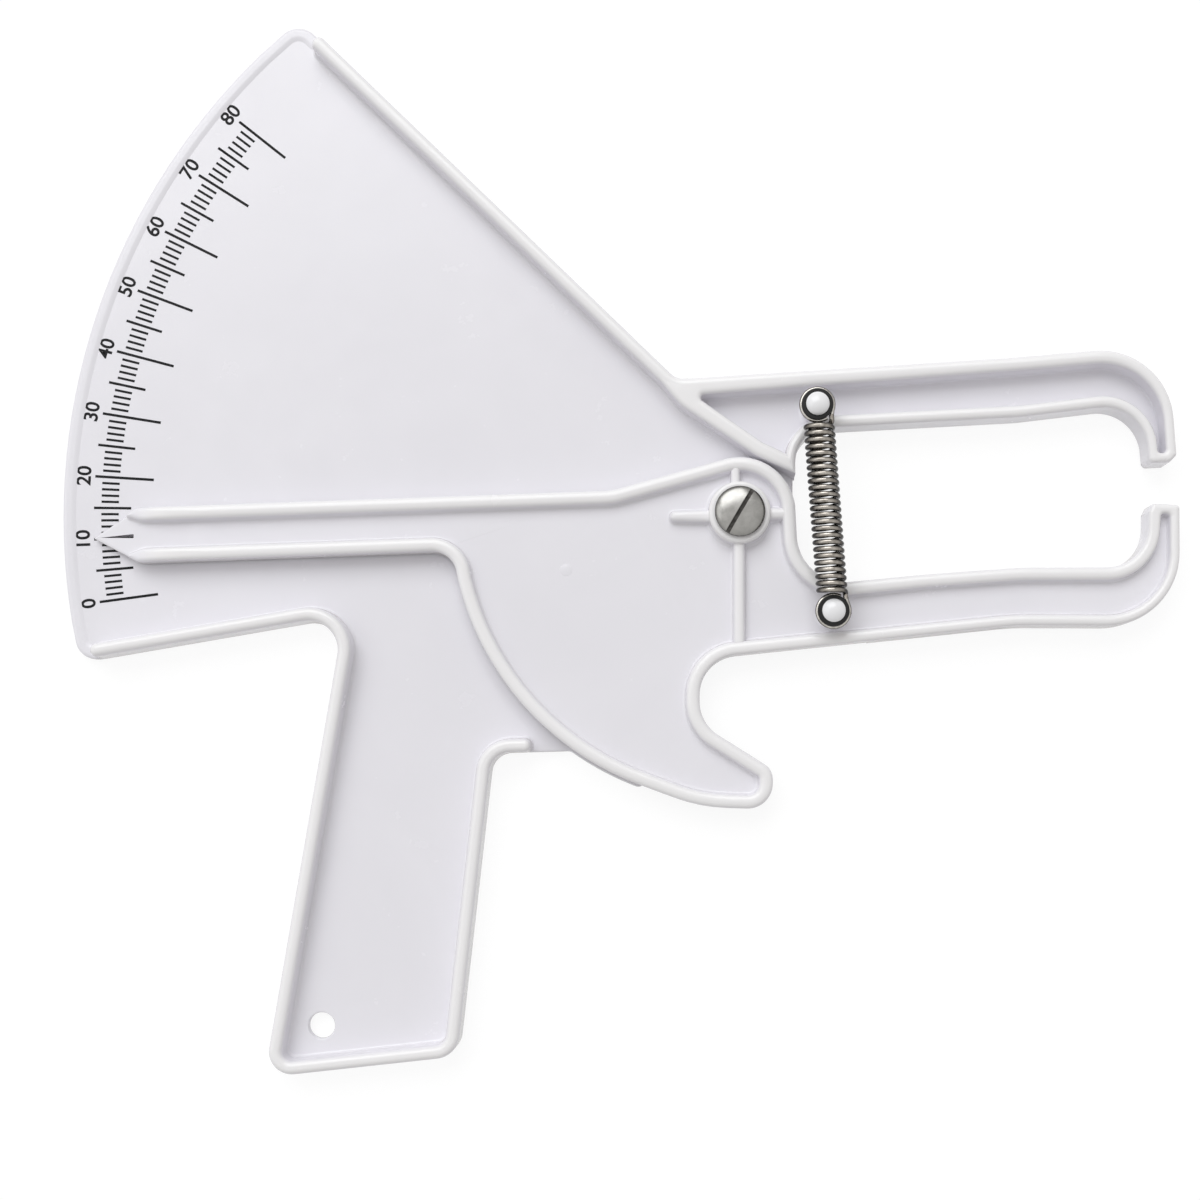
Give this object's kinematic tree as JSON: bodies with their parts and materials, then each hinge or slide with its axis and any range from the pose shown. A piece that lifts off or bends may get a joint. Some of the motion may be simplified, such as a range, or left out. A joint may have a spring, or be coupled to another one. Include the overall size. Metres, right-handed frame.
{
  "type": "skinfold caliper",
  "caption": "White moulded skinfold caliper with a fan-shaped scale, a pistol grip, a slotted pivot screw, and a sprung lever with pointer, trigger and lower jaw.",
  "frame": {"origin": "the pivot's axis at the back face that the caliper lies on", "axes": "+X towards the jaws, +Y towards the fan's top corner and away from the grip, +Z out of the printed front"},
  "size_m": [0.2684, 0.2522, 0.016],
  "materials": {
    "white_plastic": "satin moulded, slightly glossy rims",
    "cap_plastic": "glossy",
    "black_plastic": "satin",
    "washer_nylon": "matte",
    "screw_steel": "satin turned steel",
    "spring_steel": "drawn spring wire"
  },
  "bodies": {
    "frame": {"scale_frame": "white_plastic", "pivot_barrel": "screw_steel", "spacer_washer": "washer_nylon", "front_washer": "screw_steel", "pivot_screw": "screw_steel", "upper_bushing": "black_plastic", "upper_post_cap": "cap_plastic"},
    "lever": {"pointer_lever": "white_plastic", "lower_bushing": "black_plastic", "lower_post_cap": "cap_plastic"},
    "spring_top": {"spring_upper_eye": "spring_steel", "spring_coil": "spring_steel"},
    "spring_bottom": {"spring_lower_eye": "spring_steel"}
  },
  "joints": [
    {"name": "lever_pivot", "type": "hinge", "parent": "frame", "child": "lever", "pos_m": [0, 0, 0], "axis": [0, 0, -1], "range_deg": [-5.59, 40.4], "stiffness_Nm_per_rad": 0.1, "springref_deg": -171.89},
    {"name": "spring_swing", "type": "hinge", "parent": "frame", "child": "spring_top", "pos_m": [0.01815, 0.0247, 0.0123], "axis": [0, 0, -1], "range_deg": [-2.95, 21.1]},
    {"name": "spring_stretch", "type": "slide", "parent": "spring_top", "child": "spring_bottom", "axis": [0.0768, -0.997, 0], "range_m": [-0.0016, 0.01145], "deforming": ["spring_coil"]}
  ],
  "couplings": [
    {"joint": "spring_swing", "follows": "lever_pivot", "ratio": 0.5201},
    {"joint": "spring_stretch", "follows": "lever_pivot", "m_per_rad": 0.016154}
  ]
}
